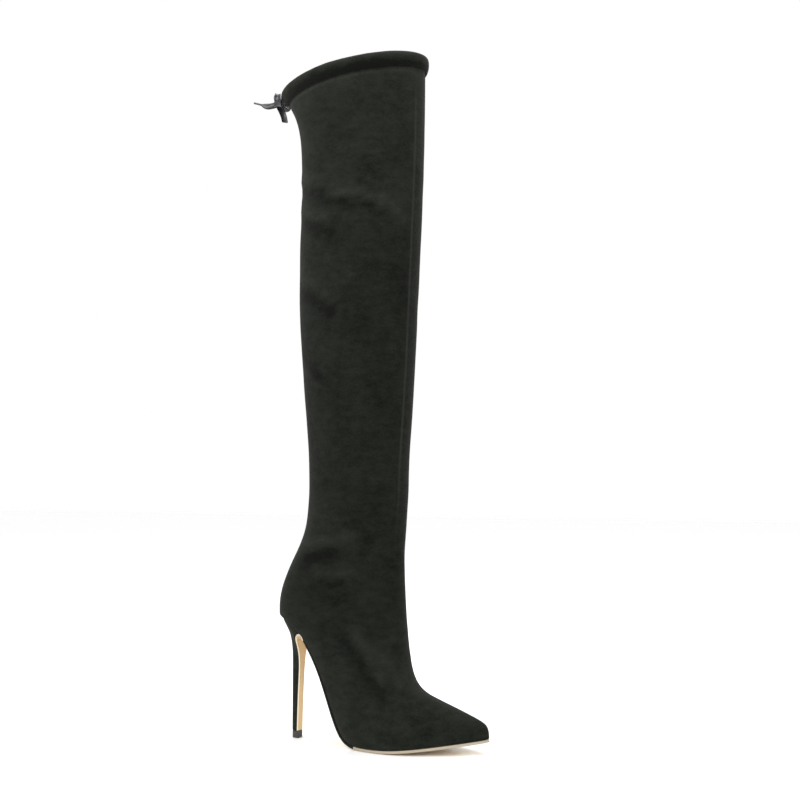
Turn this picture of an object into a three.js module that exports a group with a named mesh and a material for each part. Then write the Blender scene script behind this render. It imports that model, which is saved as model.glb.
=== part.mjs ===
// A thigh high boot for the right foot: suede upper with a pointed toe, tall covered heel, thin
// tan outsole, and a rolled drawstring casing round the collar, tied with a ribbon at the back.
// Millimetres. +X points to the toe, +Y to the inner side of the leg, +Z up. The origin is the
// middle of the flat face under the top lift.
import * as THREE from "three";
import { mergeVertices } from "three/addons/utils/BufferGeometryUtils.js";

// Foot and leg
const footLength = 218; // back of the heel cup to the toe tip, along the floor
const heelSetback = 17.5; // back of the heel cup behind the middle of the top lift
const heelHeight = 119; // rise of the seat's back edge over the tread
const legLength = 540; // seat's back edge to the front of the collar
const ballWidth = 76;
const legWidth = 98; // side to side at the collar
const toeSpring = 12;
const springStart = 0.56; // share of the foot's length where the toe begins to lift
const springPower = 1.3; // how late in the toe the lift comes
const springFade = 0.5; // share of the heel's height over which the lift dies out towards the ankle

// Walls and thicknesses
const wall = 1.8;
const clearance = 0.3; // between pieces that touch
const soleGap = 0.45; // between the upper's edge and the curved outsole under it
const seatGap = 0.8; // between the sloping seat and the heel under it, measured upright
const insoleThickness = 2.2;
const insoleInset = 0.8; // between the insole's edge and the wall
const outsoleThickness = 2.6;
const outsoleInset = 0.3; // outsole edge inside the upper's outer face
const shankThickness = 2.2;
const flapThickness = 1.5; // outsole leather on the front of the heel
const flapBlend = 0.1; // share of the foot's length over which the flap thickens to the shank
const shankEnd = 0.36; // shares of the foot's length where the shank's thickness ends
const ballStart = 0.42; // and the ball's begins

// Heel
const tipWidth = 8.8;
const tipDepth = 8.4; // top lift, front to back
const liftHeight = 7;
const heelTopInset = 2.4; // heel's top edge inside the upper's outer face
const breastReach = 2.8; // the heel's front leans this far forward below the bend
const breastRadius = 6; // bend of the sole where shank meets heel
const bendMargin = 1; // room between the bend's start and the last row of the shank
const heelLip = 2; // the heel's top reaches this far over the bend's middle

// Collar
const ventDepth = 46; // slit at the centre back, measured down from the collar
const ventWidth = 14;
const casingDrop = 11; // casing's lower edge below the wall's top edge
const casingRise = 2.6; // casing's top over the wall's top edge
const casingBulge = 3; // how far the casing stands off the wall
const casingWall = 1.2;
const casingLap = 1; // the casing's lip down the inside of the wall
const casingFullness = 0.8; // power of the lower profile: smaller is fuller
const casingMiddle = 0.5; // height over the wall's top edge where the profile is widest

// Ribbon
const ribbonWidth = 7;
const ribbonThickness = 0.7;
const ribbonDrop = 4; // the ribbon's middle below the wall's top edge, inside the casing
const ribbonSlack = 0.1; // between the ribbon and the wall, over the clearance
const ribbonEntry = 0.4; // how far into the casing it shows, in spaces between skin columns
const knotReach = 7; // knot's middle behind the back of the collar
const knotDrop = 2.5; // and below it
const knotHeight = 10;
const knotWidth = 8;
const knotDepth = 6;

const soleBase = outsoleThickness + soleGap; // height of the upper's edge over the floor at the ball

// A table is a list of rows under named columns.
function table(names, rows) {
  return rows.map((row) => Object.fromEntries(names.map((name, k) => [name, row[k]])));
}

// Smooth curve through (xs, ys) that never overshoots its points.
function smoothCurve(xs, ys) {
  const slopes = ys.slice(1).map((y, k) => (y - ys[k]) / (xs[k + 1] - xs[k]));
  const tangents = xs.map((_, k) => {
    const before = slopes[Math.max(k - 1, 0)];
    const after = slopes[Math.min(k, slopes.length - 1)];
    return before * after <= 0 ? 0 : (2 * before * after) / (before + after);
  });
  return (x) => {
    let k = 0;
    while (k < xs.length - 2 && x > xs[k + 1]) k += 1;
    const span = xs[k + 1] - xs[k];
    const u = (x - xs[k]) / span;
    if (u < 0) return ys[k] + tangents[k] * (x - xs[k]);
    if (u > 1) return ys[k + 1] + tangents[k + 1] * (x - xs[k + 1]);
    const rise = ys[k + 1] - ys[k];
    const bend = (u * (u - 1)) * (tangents[k] * span * (u - 1) + tangents[k + 1] * span * u);
    return ys[k] + rise * u * u * (3 - 2 * u) + bend;
  };
}

// Where a function of one value changes sign between low and high.
function crossing(f, low, high) {
  const rising = f(high) > f(low);
  for (let k = 0; k < 44; k += 1) {
    const middle = (low + high) / 2;
    if (f(middle) > 0 === rising) high = middle;
    else low = middle;
  }
  return (low + high) / 2;
}

const lengthwise = (share) => share * footLength - heelSetback;
const shareOf = (x) => (x + heelSetback) / footLength;

// Extra height of everything ahead of the ball, where the toe lifts.
function springAt(x) {
  const ahead = Math.max(0, (shareOf(x) - springStart) / (1 - springStart));
  return toeSpring * ahead ** springPower;
}

// Heights: 0 is the tread and 1 the back of the seat, and past 1 they count up the leg to 2.
function heightAt(up, x) {
  const rise = up <= 1 ? up * heelHeight : heelHeight + (up - 1) * legLength;
  const fade = THREE.MathUtils.clamp((1 - up) / springFade, 0, 1);
  return soleBase + rise + springAt(x) * fade;
}

// The line where upper and sole meet, seen from the side: seat, shank, flat ball.
const bottomRows = table(
  ["along", "up"],
  [
    [-0.08, 1.02],
    [0, 1],
    [0.053, 0.972],
    [0.109, 0.925],
    [0.155, 0.855],
    [0.2, 0.735],
    [0.25, 0.565],
    [0.29, 0.39],
    [0.318, 0.235],
    [0.347, 0.102],
    [0.376, 0.03],
    [0.405, 0.005],
    [0.44, 0],
    [1.1, 0],
  ],
);
const bottomUp = smoothCurve(
  bottomRows.map((row) => row.along),
  bottomRows.map((row) => row.up),
);
const bottomHeight = (x) => heightAt(bottomUp(shareOf(x)), x);

// The bottom line's upward direction at x, as [x, z].
function bottomNormal(x) {
  const step = 0.5;
  const run = new THREE.Vector2(2 * step, bottomHeight(x + step) - bottomHeight(x - step)).normalize();
  return [-run.y, run.x];
}

// Sections from toe to collar. Each lies in a plane that holds the Y direction and runs from a
// back (or bottom) point to a front (or top) point. Along are shares of the foot's length, up are
// heights as above, half is half the width as a share of the ball's (foot) or collar's (leg) half,
// widest is how far along the section that width lies, the two curves are superellipse powers,
// and base and ridge shift the back and front points towards the inner side, in ball widths.
const sectionColumns = [
  "backAlong", "backUp", "frontAlong", "frontUp", "half", "leg", "widest", "backCurve", "frontCurve",
  "base", "ridge",
];
const sections = table(sectionColumns, [
  [1.002, -0.04, 1.002, -0.017, 0.0, 0, 0.5, 2.2, 2.0, 0.07, 0.07],
  [0.997, -0.065, 0.997, 0.067, 0.075, 0, 0.5, 2.3, 2.0, 0.07, 0.07],
  [0.985, -0.07, 0.985, 0.108, 0.15, 0, 0.46, 2.4, 2.0, 0.07, 0.07],
  [0.964, -0.07, 0.964, 0.136, 0.225, 0, 0.42, 2.5, 2.0, 0.068, 0.07],
  [0.934, -0.07, 0.934, 0.169, 0.315, 0, 0.38, 2.6, 2.0, 0.066, 0.07],
  [0.888, -0.07, 0.888, 0.213, 0.45, 0, 0.35, 2.7, 2.0, 0.062, 0.07],
  [0.822, -0.07, 0.825, 0.271, 0.64, 0, 0.33, 2.8, 2.0, 0.055, 0.07],
  [0.745, -0.07, 0.753, 0.34, 0.83, 0, 0.32, 2.8, 2.0, 0.04, 0.06],
  [0.669, -0.07, 0.688, 0.408, 0.96, 0, 0.31, 2.8, 2.0, 0.02, 0.045],
  [0.575, -0.07, 0.652, 0.495, 1.0, 0, 0.31, 3.0, 1.95, 0.0, 0.03],
  [0.46, -0.07, 0.638, 0.607, 0.97, 0, 0.33, 3.0, 1.95, 0.0, 0.02],
  [0.355, -0.03, 0.633, 0.741, 0.93, 0, 0.36, 2.6, 1.95, 0.01, 0.01],
  [0.273, 0.2, 0.628, 0.874, 0.9, 0, 0.4, 2.1, 1.95, 0.02, 0],
  [0.207, 0.5, 0.622, 1.0, 0.89, 0, 0.42, 2.1, 1.95, 0.02, 0],
  [0.138, 0.73, 0.618, 1.03, 0.89, 0, 0.42, 2.15, 1.95, 0.01, 0],
  [0.064, 0.87, 0.617, 1.06, 0.89, 0, 0.4, 2.2, 1.95, 0, 0],
  [0.016, 0.945, 0.617, 1.09, 0.9, 0, 0.4, 2.2, 1.95, 0, 0],
  [0.0, 1.012, 0.618, 1.12, 0.91, 0.1, 0.42, 2.15, 1.95, 0, 0],
  [0.022, 1.05, 0.621, 1.15, 0.92, 0.2, 0.44, 2.1, 1.95, 0, 0],
  [0.078, 1.097, 0.625, 1.18, 0.86, 0.5, 0.46, 2.05, 1.95, 0, 0],
  [0.144, 1.15, 0.629, 1.21, 0.78, 0.8, 0.48, 2.0, 1.95, 0, 0],
  [0.158, 1.22, 0.632, 1.25, 0.745, 1, 0.5, 2.0, 1.95, 0, 0],
  [0.155, 1.285, 0.638, 1.3, 0.755, 1, 0.5, 2.0, 1.95, 0, 0],
  [0.136, 1.37, 0.649, 1.38, 0.81, 1, 0.5, 2.0, 1.95, 0, 0],
  [0.117, 1.48, 0.665, 1.49, 0.88, 1, 0.5, 2.0, 1.95, 0, 0],
  [0.1, 1.6, 0.681, 1.61, 0.93, 1, 0.5, 2.0, 1.95, 0, 0],
  [0.117, 1.74, 0.699, 1.75, 0.96, 1, 0.5, 2.0, 1.95, 0, 0],
  [0.112, 1.85, 0.707, 1.875, 0.975, 1, 0.5, 1.9, 1.95, 0, 0],
  [0.075, 1.912, 0.7095, 1.94, 0.99, 1, 0.5, 1.8, 1.95, 0, 0],
  [0.008, 1.961, 0.712, 2.0, 1.0, 1, 0.5, 1.65, 1.95, 0, 0],
]);
const lastSection = sections.length - 1;
const column = Object.fromEntries(
  sectionColumns.map((name) => [
    name,
    smoothCurve(
      sections.map((_, k) => k),
      sections.map((row) => row[name]),
    ),
  ]),
);

// Back and front points of the section at t, as [x, z].
function backPoint(t) {
  const x = lengthwise(column.backAlong(t));
  return [x, heightAt(column.backUp(t), x)];
}
function frontPoint(t) {
  const x = lengthwise(column.frontAlong(t));
  return [x, heightAt(column.frontUp(t), x)];
}

// Point of the outer form at section t. Angle 0 is its back, PI its front; side is -1 outer, 1 inner.
function formPoint(t, angle, side) {
  const [backX, backZ] = backPoint(t);
  const [frontX, frontZ] = frontPoint(t);
  const widest = column.widest(t);
  const forward = Math.cos(angle) < 0;
  const power = 2 / (forward ? column.frontCurve(t) : column.backCurve(t));
  const reach = Math.abs(Math.cos(angle)) ** power;
  const share = forward ? widest + (1 - widest) * reach : widest * (1 - reach);
  const halfWidth = THREE.MathUtils.lerp(ballWidth, legWidth, column.leg(t)) / 2;
  const middle = ballWidth * THREE.MathUtils.lerp(column.base(t), column.ridge(t), share);
  return new THREE.Vector3(
    backX + (frontX - backX) * share,
    middle + side * column.half(t) * halfWidth * Math.abs(Math.sin(angle)) ** power,
    backZ + (frontZ - backZ) * share,
  );
}

// The skin starts where the front first rises over the bottom line, and closes behind the seat.
const overBottom = ([x, z]) => z - bottomHeight(x);
const tipStop = crossing((t) => overBottom(frontPoint(t)), 0, 1);
const seatStop = crossing((t) => overBottom(backPoint(t)), lastSection / 2, lastSection * 0.65);
const collarBack = backPoint(lastSection)[1];
const ventStop = crossing((t) => backPoint(t)[1] - (collarBack - ventDepth), seatStop + 2, lastSection);

// Half the gap between the two edges of the vent, and of nothing below it.
function ventHalf(t) {
  return t <= ventStop ? 0 : ((t - ventStop) / (lastSection - ventStop)) * (ventWidth / 2);
}

// Angle at which one side of a section starts: on the bottom line, at the back, or at the vent.
function startAngle(t, side) {
  const quarter = Math.PI / 2;
  if (t <= tipStop) return Math.PI;
  if (t < seatStop) {
    const over = (angle) => {
      const point = formPoint(t, angle, side);
      return point.z - bottomHeight(point.x);
    };
    return crossing(over, 0, Math.PI);
  }
  if (t <= ventStop) return 0;
  return crossing((angle) => Math.abs(formPoint(t, angle, side).y) - ventHalf(t), 0, quarter);
}

// Evenly spaced points along one side of a section, from its start to the front.
function sidePoints(t, side, count) {
  const fine = 160;
  const start = startAngle(t, side);
  const points = Array.from({ length: fine + 1 }, (_, k) =>
    formPoint(t, start + ((Math.PI - start) * k) / fine, side),
  );
  const lengths = [0];
  points.slice(1).forEach((point, k) => lengths.push(lengths[k] + point.distanceTo(points[k])));
  return Array.from({ length: count + 1 }, (_, n) => {
    const wanted = (lengths[fine] * n) / count;
    let k = 1;
    while (k < fine && lengths[k] < wanted) k += 1;
    const span = lengths[k] - lengths[k - 1];
    const share = span > 0 ? (wanted - lengths[k - 1]) / span : 0;
    return points[k - 1].clone().lerp(points[k], share);
  });
}

// Stops along the boot at which the skin has a row.
const footRows = 26;
const legRows = 14;
const ventRows = 4;
const spread = (from, to, count) =>
  Array.from({ length: count }, (_, k) => from + ((to - from) * (k + 1)) / count);
const stops = [
  tipStop,
  ...spread(tipStop, seatStop, footRows),
  ...spread(seatStop, ventStop, legRows),
  ...spread(ventStop, lastSection, ventRows),
];
const halfColumns = 17;
const seatRow = footRows;
const ventRow = footRows + legRows;

// The outer skin as a grid: a row for each stop, outer side first, front in the middle.
const outerSkin = stops.map((t) => {
  const outer = sidePoints(t, -1, halfColumns);
  const inner = sidePoints(t, 1, halfColumns);
  return [...outer, ...inner.reverse().slice(1)];
});
const lastColumn = 2 * halfColumns;

// Outward directions of a grid, closed round the back between seat and vent.
function normalsOf(grid) {
  return grid.map((row, i) =>
    row.map((point, j) => {
      const closed = i >= seatRow && i <= ventRow;
      const left = j > 0 ? row[j - 1] : closed ? row[lastColumn - 1] : point;
      const right = j < lastColumn ? row[j + 1] : closed ? row[1] : point;
      const below = grid[Math.max(i - 1, 0)][j];
      const above = grid[Math.min(i + 1, grid.length - 1)][j];
      const across = right.clone().sub(left);
      const along = above.clone().sub(below);
      const normal = across.cross(along);
      if (normal.length() < 1e-9) return new THREE.Vector3(1, 0, 0);
      return normal.normalize();
    }),
  );
}
const skinNormals = normalsOf(outerSkin);

// The skin moved by a distance along its normals, with its bottom edge kept on the bottom line.
function movedSkin(distance) {
  return outerSkin.map((row, i) =>
    row.map((point, j) => {
      const moved = point.clone().addScaledVector(skinNormals[i][j], distance);
      const atBottom = i <= seatRow && (j === 0 || j === lastColumn || i === 0);
      if (atBottom) moved.z = bottomHeight(moved.x);
      return moved;
    }),
  );
}

// Collects triangles and leaves out those that have shrunk to a line.
function faceList() {
  const positions = [];
  const same = (a, b) => a.distanceToSquared(b) < 1e-8;
  const triangle = (a, b, c) => {
    if (same(a, b) || same(b, c) || same(a, c)) return;
    positions.push(...a.toArray(), ...b.toArray(), ...c.toArray());
  };
  const quad = (a, b, c, d) => {
    triangle(a, b, c);
    triangle(a, c, d);
  };
  const geometry = () => {
    const made = new THREE.BufferGeometry();
    made.setAttribute("position", new THREE.Float32BufferAttribute(positions, 3));
    return mergeVertices(made, 1e-3);
  };
  return { triangle, quad, geometry };
}

// Closed body between two grids of the same size, front facing out and back behind it.
// openRow tells between which rows the first and last columns are edges that need closing.
function slab(front, back, openRow = () => true) {
  const faces = faceList();
  const lastI = front.length - 1;
  const lastJ = front[0].length - 1;
  for (let i = 0; i < lastI; i += 1) {
    for (let j = 0; j < lastJ; j += 1) {
      faces.quad(front[i][j], front[i][j + 1], front[i + 1][j + 1], front[i + 1][j]);
      faces.quad(back[i][j], back[i + 1][j], back[i + 1][j + 1], back[i][j + 1]);
    }
    if (openRow(i)) {
      faces.quad(front[i][0], front[i + 1][0], back[i + 1][0], back[i][0]);
      faces.quad(front[i + 1][lastJ], front[i][lastJ], back[i][lastJ], back[i + 1][lastJ]);
    }
  }
  for (let j = 0; j < lastJ; j += 1) {
    faces.quad(front[0][j + 1], front[0][j], back[0][j], back[0][j + 1]);
    faces.quad(front[lastI][j], front[lastI][j + 1], back[lastI][j + 1], back[lastI][j]);
  }
  return faces.geometry();
}

// Closed body through rings of the same count that turn anticlockwise seen from the last one.
function loft(rings) {
  const faces = faceList();
  const count = rings[0].length;
  const middleOf = (ring) =>
    ring.reduce((sum, point) => sum.add(point), new THREE.Vector3()).divideScalar(count);
  rings.slice(1).forEach((ring, i) => {
    ring.forEach((_, k) => {
      const next = (k + 1) % count;
      faces.quad(rings[i][k], rings[i][next], ring[next], ring[k]);
    });
  });
  const first = rings[0];
  const last = rings[rings.length - 1];
  const firstMiddle = middleOf(first);
  const lastMiddle = middleOf(last);
  for (let k = 0; k < count; k += 1) {
    const next = (k + 1) % count;
    faces.triangle(firstMiddle, first[next], first[k]);
    faces.triangle(lastMiddle, last[k], last[next]);
  }
  return faces.geometry();
}

// Upper: one wall from the toe to the collar, open below, at the vent and at the top.
function upperGeometry() {
  const openRow = (i) => i < seatRow || i >= ventRow;
  return slab(outerSkin, movedSkin(-wall), openRow);
}

// Plan outline of the sole: for each foot row the two points of the skin's bottom edge,
// moved inwards in plan by inset.
function soleEdges(inset) {
  const outer = outerSkin.slice(0, seatRow + 1).map((row) => row[0]);
  const inner = outerSkin.slice(0, seatRow + 1).map((row) => row[lastColumn]);
  const inwards = (line, side) =>
    line.map((point, k) => {
      const before = line[Math.max(k - 1, 0)];
      const after = line[Math.min(k + 1, line.length - 1)];
      const run = new THREE.Vector2(after.x - before.x, after.y - before.y);
      if (k === 0) run.set(0, -side);
      if (k === line.length - 1) run.set(0, side);
      run.normalize();
      return new THREE.Vector2(point.x + side * run.y * inset, point.y - side * run.x * inset);
    });
  return { outer: inwards(outer, 1), inner: inwards(inner, -1) };
}

const soleColumns = 6;

// Points across the sole between its two edges, on the bottom line moved along its normal by
// the rise at x.
function soleRow(outer, inner, rise) {
  return Array.from({ length: soleColumns + 1 }, (_, j) => {
    const share = j / soleColumns;
    const x = THREE.MathUtils.lerp(outer.x, inner.x, share);
    const y = THREE.MathUtils.lerp(outer.y, inner.y, share);
    const [normalX, normalZ] = bottomNormal(x);
    return new THREE.Vector3(x + normalX * rise(x), y, bottomHeight(x) + normalZ * rise(x));
  });
}

// Insole: lies on the outsole and seat between the walls.
function insoleGeometry() {
  const edges = soleEdges(wall + insoleInset);
  const rows = edges.outer.map((point, k) => [point, edges.inner[k]]);
  const top = rows.map(([outer, inner]) => soleRow(outer, inner, () => insoleThickness));
  const bottom = rows.map(([outer, inner]) => soleRow(outer, inner, () => 0));
  return slab(top, bottom);
}

// Where a line across the sole at x meets its two edges, as [outer y, inner y].
function edgesAt(x, inset) {
  const edges = soleEdges(inset);
  return [edges.outer, edges.inner].map((line) => {
    let k = 1;
    while (k < line.length - 1 && line[k].x > x) k += 1;
    const share = (line[k - 1].x - x) / (line[k - 1].x - line[k].x);
    return THREE.MathUtils.lerp(line[k - 1].y, line[k].y, share);
  });
}

// The bend where the sole leaves the shank and runs down the front of the heel: a circle that
// touches the front of the heel behind it and the underside of the seat above it.
const breastFront = tipDepth / 2 - flapThickness - clearance; // heel's front face at the top lift
const bendRadius = breastRadius + flapThickness;
const bendX = breastFront + breastReach + clearance + bendRadius;
const bendStart = crossing(
  (x) => x - bottomNormal(x)[0] * (soleGap + bendRadius) - bendX,
  bendX,
  bendX + 3 * bendRadius,
);
const bendNormal = bottomNormal(bendStart);
const bendZ = bottomHeight(bendStart) - bendNormal[1] * (soleGap + bendRadius);
const heelFoot = liftHeight + clearance; // height of the heel's lower end

// Heel, from its foot (0) to the seat (1): how far its outline has spread from the top lift's
// shape to the seat's, and how far its front has leaned.
const heelRows = table(
  ["height", "spread", "lean"],
  [
    [0, 0, 0],
    [0.3, 0, 0.3],
    [0.56, 0, 0.7],
    [0.68, 0.025, 0.9],
    [0.777, 0.13, 1],
    [0.847, 0.27, 1],
    [0.882, 0.39, 1],
    [0.917, 0.53, 1],
    [0.952, 0.7, 1],
    [1, 1, 1],
  ],
);
const heights = heelRows.map((row) => row.height);
const heelSpread = smoothCurve(
  heights,
  heelRows.map((row) => row.spread),
);
const heelLean = smoothCurve(
  heights,
  heelRows.map((row) => row.lean),
);
const lipX = bendX + heelLip;
const lipZ = bottomHeight(lipX) - seatGap;

// The heel's front face at height z: straight, then round the bend of the sole.
function breastAt(z) {
  const share = (z - heelFoot) / (lipZ - heelFoot);
  const straight = breastFront + breastReach * heelLean(share);
  const over = z - bendZ;
  const round = bendRadius + clearance;
  if (over <= 0) return straight;
  if (over >= round) return bendX;
  return bendX - Math.sqrt(round * round - over * over);
}

const heelColumns = 18;
const breastColumns = 4;

// Seat outline of the heel from its outer front corner round the back to the inner one.
function seatOutline() {
  const edges = soleEdges(heelTopInset);
  const [outerY, innerY] = edgesAt(lipX, heelTopInset);
  const line = [
    new THREE.Vector2(lipX, outerY),
    ...edges.outer.filter((point) => point.x < lipX),
    ...edges.inner.filter((point) => point.x < lipX).reverse(),
    new THREE.Vector2(lipX, innerY),
  ];
  const path = new THREE.CurvePath();
  line.slice(1).forEach((point, k) => {
    if (point.distanceTo(line[k]) > 1e-6) path.add(new THREE.LineCurve(line[k], point));
  });
  return Array.from({ length: heelColumns + 1 }, (_, k) => path.getPointAt(k / heelColumns));
}

// Ring of the heel at a share of its height.
function heelRing(share) {
  const seat = seatOutline();
  const seatHalf = Math.max(...seat.map((point) => Math.abs(point.y)));
  const seatBack = Math.min(...seat.map((point) => point.x));
  const tipBack = -tipDepth / 2;
  const spreadShare = heelSpread(share);
  const half = THREE.MathUtils.lerp(tipWidth / 2, seatHalf, spreadShare);
  const back = THREE.MathUtils.lerp(tipBack, seatBack, spreadShare);
  const top = share === 1;
  const arc = seat.map((point, k) => {
    const turn = (Math.PI * k) / heelColumns;
    const seatDepth = (point.x - lipX) / (seatBack - lipX);
    const depth = THREE.MathUtils.lerp(Math.sin(turn), seatDepth, spreadShare);
    const side = THREE.MathUtils.lerp(-Math.cos(turn), point.y / seatHalf, spreadShare);
    const z = THREE.MathUtils.lerp(heelFoot, bottomHeight(point.x) - seatGap, share);
    const front = top ? lipX : breastAt(THREE.MathUtils.lerp(heelFoot, lipZ, share));
    return new THREE.Vector3(front + (back - front) * depth, half * side, z);
  });
  const first = arc[0];
  const last = arc[heelColumns];
  const breast = Array.from({ length: breastColumns - 1 }, (_, k) =>
    last.clone().lerp(first, (k + 1) / breastColumns),
  );
  return [...arc, ...breast];
}

// Heel: from the top lift to the seat.
function heelGeometry() {
  const shares = [0, 0.3, 0.5, 0.6, 0.68, 0.73, 0.777, 0.815, 0.847, 0.882, 0.91, 0.93, 0.952, 0.975, 1];
  return loft(shares.map((share) => heelRing(share).reverse()));
}

// Top lift: the heel's foot outline, deepened to the front of the sole's flap.
function topLiftGeometry() {
  const ring = (z) =>
    heelRing(0).map((point) => {
      const share = (point.x + tipDepth / 2) / (breastFront + tipDepth / 2);
      return new THREE.Vector3(-tipDepth / 2 + share * tipDepth, point.y, z);
    }).reverse();
  return loft([ring(0), ring(liftHeight)]);
}

// Outsole: under forefoot and shank, round the bend and down the front of the heel.
function outsoleGeometry() {
  const edges = soleEdges(outsoleInset);
  const thicknessAt = smoothCurve(
    [bendStart, bendStart + flapBlend * footLength, ...[shankEnd, ballStart, 1].map(lengthwise)],
    [flapThickness, shankThickness, shankThickness, outsoleThickness, outsoleThickness],
  );
  const under = edges.outer
    .map((outer, k) => [outer, edges.inner[k]])
    .filter(([outer, inner]) => Math.min(outer.x, inner.x) > bendStart + bendMargin);
  const top = under.map(([outer, inner]) => soleRow(outer, inner, () => -soleGap));
  const bottom = under.map(([outer, inner]) =>
    soleRow(outer, inner, (x) => -soleGap - thicknessAt(x)),
  );
  const addRow = (x, z, outerY, innerY, [normalX, normalZ]) => {
    const line = (depth) =>
      Array.from({ length: soleColumns + 1 }, (_, j) => {
        const y = THREE.MathUtils.lerp(outerY, innerY, j / soleColumns);
        return new THREE.Vector3(x - normalX * depth, y, z - normalZ * depth);
      });
    top.push(line(0));
    bottom.push(line(flapThickness));
  };
  const heelHalf = (z) => Math.abs(heelRing((z - heelFoot) / (lipZ - heelFoot))[0].y);

  const [outerY, innerY] = edgesAt(bendStart, outsoleInset);
  const startTurn = Math.atan2(bendNormal[1], bendNormal[0]);
  const bendRows = 6;
  for (let k = 0; k <= bendRows; k += 1) {
    const share = k / bendRows;
    const turn = THREE.MathUtils.lerp(startTurn, Math.PI, share);
    const normal = [Math.cos(turn), Math.sin(turn)];
    addRow(
      bendX + normal[0] * bendRadius,
      bendZ + normal[1] * bendRadius,
      THREE.MathUtils.lerp(outerY, -heelHalf(bendZ), share),
      THREE.MathUtils.lerp(innerY, heelHalf(bendZ), share),
      normal,
    );
  }
  const flapRows = 9;
  for (let k = 1; k <= flapRows; k += 1) {
    const z = THREE.MathUtils.lerp(bendZ, heelFoot, k / flapRows);
    addRow(breastAt(z) + clearance, z, -heelHalf(z), heelHalf(z), [-1, 0]);
  }
  return slab(top, bottom);
}

// A point near the collar's edge at column j of the skin, which need not be whole: away from the
// wall's outer face and up over its top edge.
function collarPoint(j, away, rise) {
  const top = outerSkin.length - 1;
  const at = (column) => {
    const base = outerSkin[top][column];
    const up = base.clone().sub(outerSkin[top - 1][column]).normalize();
    const out = skinNormals[top][column].clone();
    out.addScaledVector(up, -out.dot(up)).normalize();
    return base.clone().addScaledVector(out, away).addScaledVector(up, rise);
  };
  const before = Math.floor(j);
  return at(before).lerp(at(Math.ceil(j)), j - before);
}

// Casing: a rolled tunnel that follows the collar from one edge of the vent to the other.
function casingGeometry() {
  const inside = wall + clearance + casingWall;
  const lowerPoints = 4;
  const upperPoints = 7;
  const profile = (thin) => {
    const lowerReach = casingBulge - clearance - thin;
    const lowerDepth = casingDrop + casingMiddle - thin;
    const lower = Array.from({ length: lowerPoints }, (_, k) => {
      const turn = (Math.PI / 2) * (1 - k / lowerPoints);
      const reach = lowerReach * Math.cos(turn) ** casingFullness;
      return [clearance + reach, casingMiddle - lowerDepth * Math.sin(turn)];
    });
    const centre = (casingBulge - inside) / 2;
    const radius = (casingBulge + inside) / 2 - thin;
    const upperHeight = casingRise - casingMiddle - thin;
    const upper = Array.from({ length: upperPoints + 1 }, (_, k) => {
      const turn = (Math.PI * k) / upperPoints;
      return [centre + radius * Math.cos(turn), casingMiddle + upperHeight * Math.sin(turn)];
    });
    return [...lower, ...upper, [thin - inside, -casingLap]];
  };
  const place = (thin) =>
    outerSkin[0].map((_, j) => profile(thin).map(([away, rise]) => collarPoint(j, away, rise)));
  return slab(place(casingWall), place(0));
}

// A flat ribbon along points, its width turning from one direction to another.
function ribbonGeometry(points, widthAlong, widthAtEnd = widthAlong) {
  const curve = new THREE.CatmullRomCurve3(points);
  const steps = 2 * points.length;
  const grid = (lift) =>
    Array.from({ length: steps + 1 }, (_, k) => {
      const place = curve.getPointAt(k / steps);
      const run = curve.getTangentAt(k / steps);
      const wide = new THREE.Vector3(...widthAlong);
      wide.lerp(new THREE.Vector3(...widthAtEnd), k / steps);
      wide.addScaledVector(run, -wide.dot(run)).normalize();
      const out = run.clone().cross(wide);
      return [-1, 0, 1].map((side) =>
        place.clone().addScaledVector(wide, (side * ribbonWidth) / 2).addScaledVector(out, lift),
      );
    });
  return slab(grid(-ribbonThickness / 2), grid(ribbonThickness / 2));
}

// The knot hangs behind the vent. Ribbon points are measured from its middle, in millimetres.
const knotPlace = new THREE.Vector3(
  backPoint(lastSection)[0] - knotReach,
  0,
  backPoint(lastSection)[1] - knotDrop,
);

// From inside one end of the casing to the knot.
function leadPoints(side) {
  const away = clearance + ribbonThickness / 2 + ribbonSlack;
  const edge = side < 0 ? 0 : lastColumn;
  const inwards = edge - side * ribbonEntry;
  const inside = collarPoint(inwards, away, -ribbonDrop);
  const mouth = collarPoint(edge, away, -ribbonDrop);
  const beside = knotPlace.clone().add(new THREE.Vector3(3.2, side * 2.9, 0));
  const halfway = mouth.clone().lerp(beside, 0.55).add(new THREE.Vector3(0, side * 0.6, 0));
  return [inside, mouth, halfway, beside];
}

// Direction up the wall at one end of the casing.
function wallUp(side) {
  const edge = side < 0 ? 0 : lastColumn;
  return collarPoint(edge, 0, 1).sub(collarPoint(edge, 0, 0)).toArray();
}

const aroundKnot = (rows) => rows.map((row) => new THREE.Vector3(...row).add(knotPlace));
const loopPoints = (side, droop) =>
  aroundKnot([
    [-1.5, side * 4.5, 1.6],
    [-1, side * 7.5, 6 - droop],
    [0, side * 11.5, 7.5 - droop],
    [1, side * 15, 4 - droop],
    [1.5, side * 15.5, -1 - droop],
    [1, side * 12, -5 - droop],
    [-0.5, side * 7.5, -4.2],
    [-1.5, side * 4.5, -1.4],
  ]);

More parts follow.
